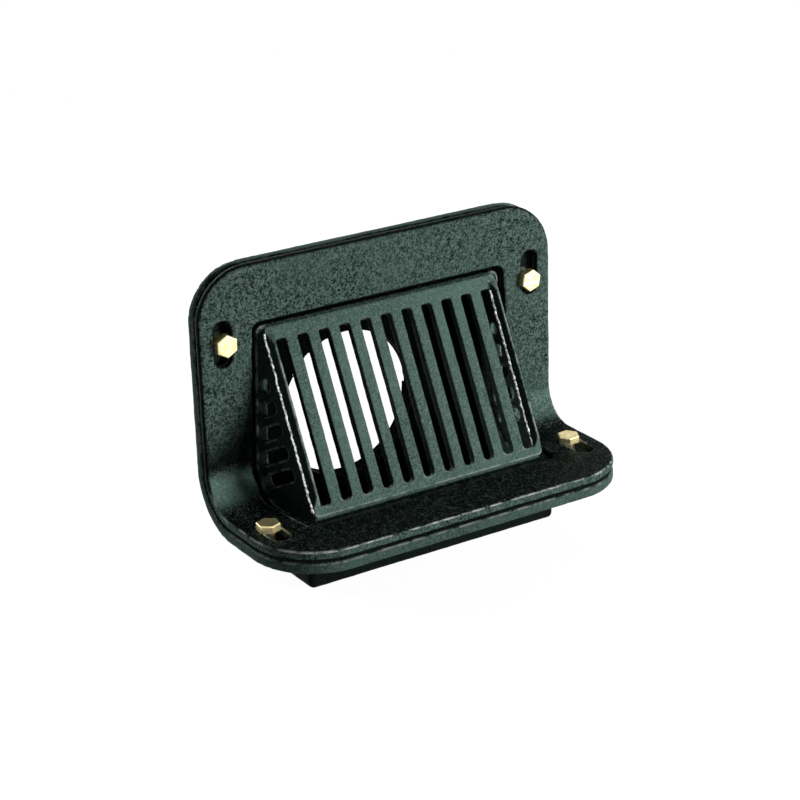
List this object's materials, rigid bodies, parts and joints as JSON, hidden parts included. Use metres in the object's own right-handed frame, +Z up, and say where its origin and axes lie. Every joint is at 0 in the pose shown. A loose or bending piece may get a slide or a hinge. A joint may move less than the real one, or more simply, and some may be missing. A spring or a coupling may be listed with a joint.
{
  "type": "parapet roof drain",
  "caption": "Cast drain for the corner of a roof and parapet wall, with an L-shaped flashing clamp bolted over its flange, a sloping bar grate and a threaded side outlet.",
  "frame": {"origin": "under the middle of the drain's box, at the underside of the sump", "axes": "+X along the wall to the right as seen from the roof, +Y into the wall along the outlet, +Z up"},
  "size_m": [0.28, 0.172, 0.2125],
  "materials": {
    "enamelled_body": "dark green enamel over rough casting",
    "enamelled_clamp": "dark green enamel over rough casting",
    "enamelled_grate": "dark green enamel over rough casting",
    "plated_bolts": "yellow plated"
  },
  "bodies": {
    "root": {"drain_body": "enamelled_body", "flashing_clamp": "enamelled_clamp", "oblique_grate": "enamelled_grate", "upper_left_bolt": "plated_bolts", "upper_right_bolt": "plated_bolts", "lower_left_bolt": "plated_bolts", "lower_right_bolt": "plated_bolts"}
  },
  "joints": []
}
